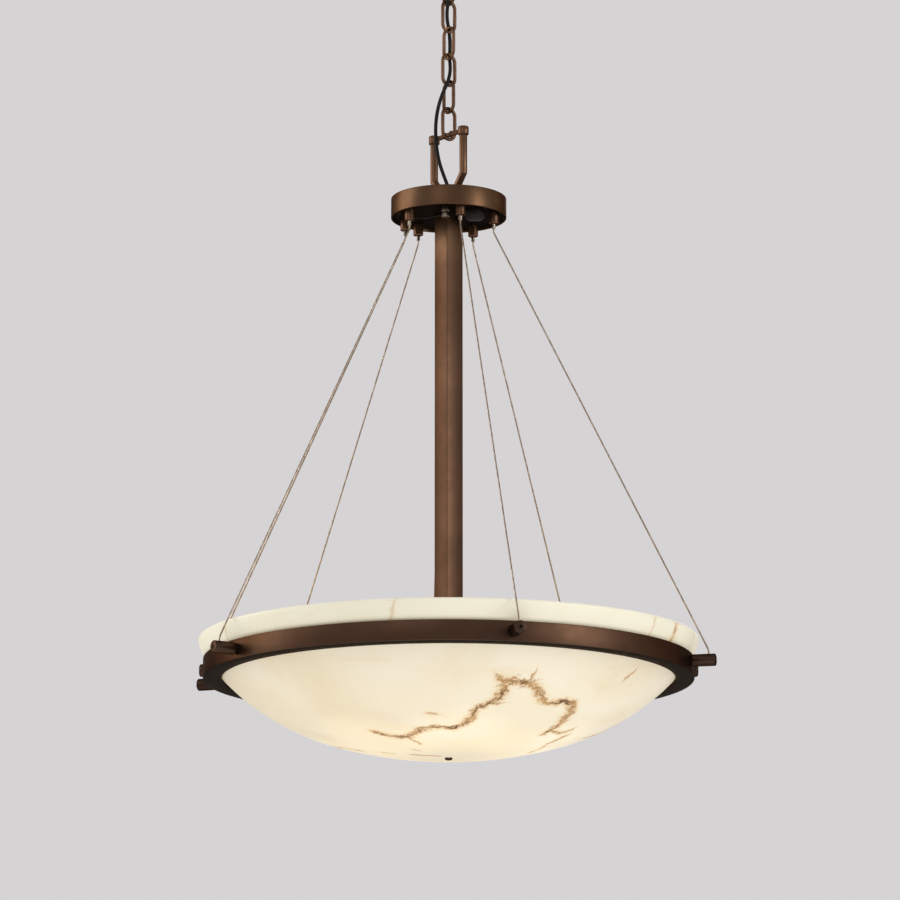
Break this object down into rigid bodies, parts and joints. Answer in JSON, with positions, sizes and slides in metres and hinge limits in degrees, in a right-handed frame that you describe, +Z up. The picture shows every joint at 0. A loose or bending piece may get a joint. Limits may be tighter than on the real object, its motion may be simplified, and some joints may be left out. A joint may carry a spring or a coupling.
{
  "type": "pendant lamp",
  "caption": "Alabaster bowl pendant lamp in a dark bronze ring, hung on steel cables from a round hub, a bail and a chain.",
  "frame": {"origin": "on the ceiling, middle of the mounting strap's upper face between its two slots", "axes": "+Z up, front of the lamp towards -Y, +X to the right as seen from the front; the strap's slots lie along X"},
  "size_m": [0.6344, 0.6517, 1.0916],
  "materials": {
    "bronze": "satin",
    "copper_bronze": "satin",
    "cable_steel": "brushed",
    "bright_steel": "satin",
    "zinc_steel": "satin",
    "alabaster": "satin",
    "dark_rubber": "matte",
    "cord_sheath": "matte",
    "porcelain": "matte",
    "lamp_glass": "satin"
  },
  "bodies": {
    "ceiling_mount": {"ceiling_strap": "zinc_steel", "strap_nipple": "zinc_steel", "strap_lock_nut": "zinc_steel", "canopy": "bronze", "canopy_loop": "copper_bronze", "canopy_collar": "bronze", "power_cord": "cord_sheath"},
    "chain_link_1": {"chain_link_1": "copper_bronze"},
    "chain_link_2": {"chain_link_2": "copper_bronze"},
    "chain_link_3": {"chain_link_3": "copper_bronze"},
    "chain_link_4": {"chain_link_4": "copper_bronze"},
    "chain_link_5": {"chain_link_5": "copper_bronze"},
    "chain_link_6": {"chain_link_6": "copper_bronze"},
    "chain_link_7": {"chain_link_7": "copper_bronze"},
    "lamp": {"bail_arm_front": "copper_bronze", "bail_arm_back": "copper_bronze", "bail_crossbar": "copper_bronze", "bail_caps": "copper_bronze", "bail_nuts": "zinc_steel", "hub_cover": "bronze", "hub_plate": "bronze", "hub_plate_screws": "bright_steel", "hub_nipple": "zinc_steel", "hub_nipple_nuts": "zinc_steel", "cord_grommet": "dark_rubber", "hole_plug": "dark_rubber", "earth_terminal": "bright_steel", "earth_wire": "dark_rubber", "gripper_bodies": "copper_bronze", "gripper_nuts": "zinc_steel", "steel_cable_1": "cable_steel", "steel_cable_2": "cable_steel", "steel_cable_3": "cable_steel", "steel_cable_4": "cable_steel", "steel_cable_5": "cable_steel", "steel_cable_6": "cable_steel", "steel_cable_7": "cable_steel", "ring_frame": "bronze", "ring_side_screws": "copper_bronze", "cable_pegs": "copper_bronze", "peg_nuts": "zinc_steel", "peg_set_screws": "bright_steel", "bowl": "alabaster", "bowl_gasket": "dark_rubber", "stem_tube": "bronze", "stem_plugs": "zinc_steel", "lamp_cluster": "zinc_steel", "lamp_sockets": "porcelain", "bulbs": "lamp_glass", "lower_rod": "zinc_steel", "cluster_nut": "zinc_steel", "floor_washer": "zinc_steel"},
    "gripper_plunger_1": {"gripper_plunger_1": "bright_steel"},
    "gripper_plunger_2": {"gripper_plunger_2": "bright_steel"},
    "gripper_plunger_3": {"gripper_plunger_3": "bright_steel"},
    "gripper_plunger_4": {"gripper_plunger_4": "bright_steel"},
    "gripper_plunger_5": {"gripper_plunger_5": "bright_steel"},
    "gripper_plunger_6": {"gripper_plunger_6": "bright_steel"},
    "gripper_plunger_7": {"gripper_plunger_7": "bright_steel"},
    "finial": {"finial": "bronze"}
  },
  "joints": [
    {"name": "chain_link_1_swing", "type": "hinge", "parent": "ceiling_mount", "child": "chain_link_1", "pos_m": [0, 0, -0.0622], "axis": [0.7815, 0.6239, 0], "range_deg": [-15, 15], "deforming": ["power_cord"]},
    {"name": "chain_link_2_swing", "type": "hinge", "parent": "chain_link_1", "child": "chain_link_2", "pos_m": [0, 0, -0.0972], "axis": [0.6239, -0.7815, 0], "range_deg": [-15, 15], "deforming": ["power_cord"]},
    {"name": "chain_link_3_swing", "type": "hinge", "parent": "chain_link_2", "child": "chain_link_3", "pos_m": [0, 0, -0.1322], "axis": [0.7815, 0.6239, 0], "range_deg": [-15, 15], "deforming": ["power_cord"]},
    {"name": "chain_link_4_swing", "type": "hinge", "parent": "chain_link_3", "child": "chain_link_4", "pos_m": [0, 0, -0.1672], "axis": [0.6239, -0.7815, 0], "range_deg": [-15, 15], "deforming": ["power_cord"]},
    {"name": "chain_link_5_swing", "type": "hinge", "parent": "chain_link_4", "child": "chain_link_5", "pos_m": [0, 0, -0.2022], "axis": [0.7815, 0.6239, 0], "range_deg": [-15, 15], "deforming": ["power_cord"]},
    {"name": "chain_link_6_swing", "type": "hinge", "parent": "chain_link_5", "child": "chain_link_6", "pos_m": [0, 0, -0.2372], "axis": [0.6239, -0.7815, 0], "range_deg": [-15, 15], "deforming": ["power_cord"]},
    {"name": "chain_link_7_swing", "type": "hinge", "parent": "chain_link_6", "child": "chain_link_7", "pos_m": [0, 0, -0.2722], "axis": [0.7815, 0.6239, 0], "range_deg": [-15, 15], "deforming": ["power_cord"]},
    {"name": "lamp_swing", "type": "hinge", "parent": "chain_link_7", "child": "lamp", "pos_m": [0, 0, -0.3064], "axis": [0.6239, -0.7815, 0], "range_deg": [-15, 15], "deforming": ["power_cord"]},
    {"name": "gripper_plunger_1_press", "type": "slide", "parent": "lamp", "child": "gripper_plunger_1", "axis": [0, 0, 1], "range_m": [0, 0.002], "stiffness_N_per_m": 800, "springref_m": -0.0005},
    {"name": "gripper_plunger_2_press", "type": "slide", "parent": "lamp", "child": "gripper_plunger_2", "axis": [0, 0, 1], "range_m": [0, 0.002], "stiffness_N_per_m": 800, "springref_m": -0.0005},
    {"name": "gripper_plunger_3_press", "type": "slide", "parent": "lamp", "child": "gripper_plunger_3", "axis": [0, 0, 1], "range_m": [0, 0.002], "stiffness_N_per_m": 800, "springref_m": -0.0005},
    {"name": "gripper_plunger_4_press", "type": "slide", "parent": "lamp", "child": "gripper_plunger_4", "axis": [0, 0, 1], "range_m": [0, 0.002], "stiffness_N_per_m": 800, "springref_m": -0.0005},
    {"name": "gripper_plunger_5_press", "type": "slide", "parent": "lamp", "child": "gripper_plunger_5", "axis": [0, 0, 1], "range_m": [0, 0.002], "stiffness_N_per_m": 800, "springref_m": -0.0005},
    {"name": "gripper_plunger_6_press", "type": "slide", "parent": "lamp", "child": "gripper_plunger_6", "axis": [0, 0, 1], "range_m": [0, 0.002], "stiffness_N_per_m": 800, "springref_m": -0.0005},
    {"name": "gripper_plunger_7_press", "type": "slide", "parent": "lamp", "child": "gripper_plunger_7", "axis": [0, 0, 1], "range_m": [0, 0.002], "stiffness_N_per_m": 800, "springref_m": -0.0005},
    {"name": "finial_turn", "type": "hinge", "parent": "lamp", "child": "finial", "pos_m": [0, 0, -1.09], "axis": [0, 0, 1], "continuous": true}
  ]
}
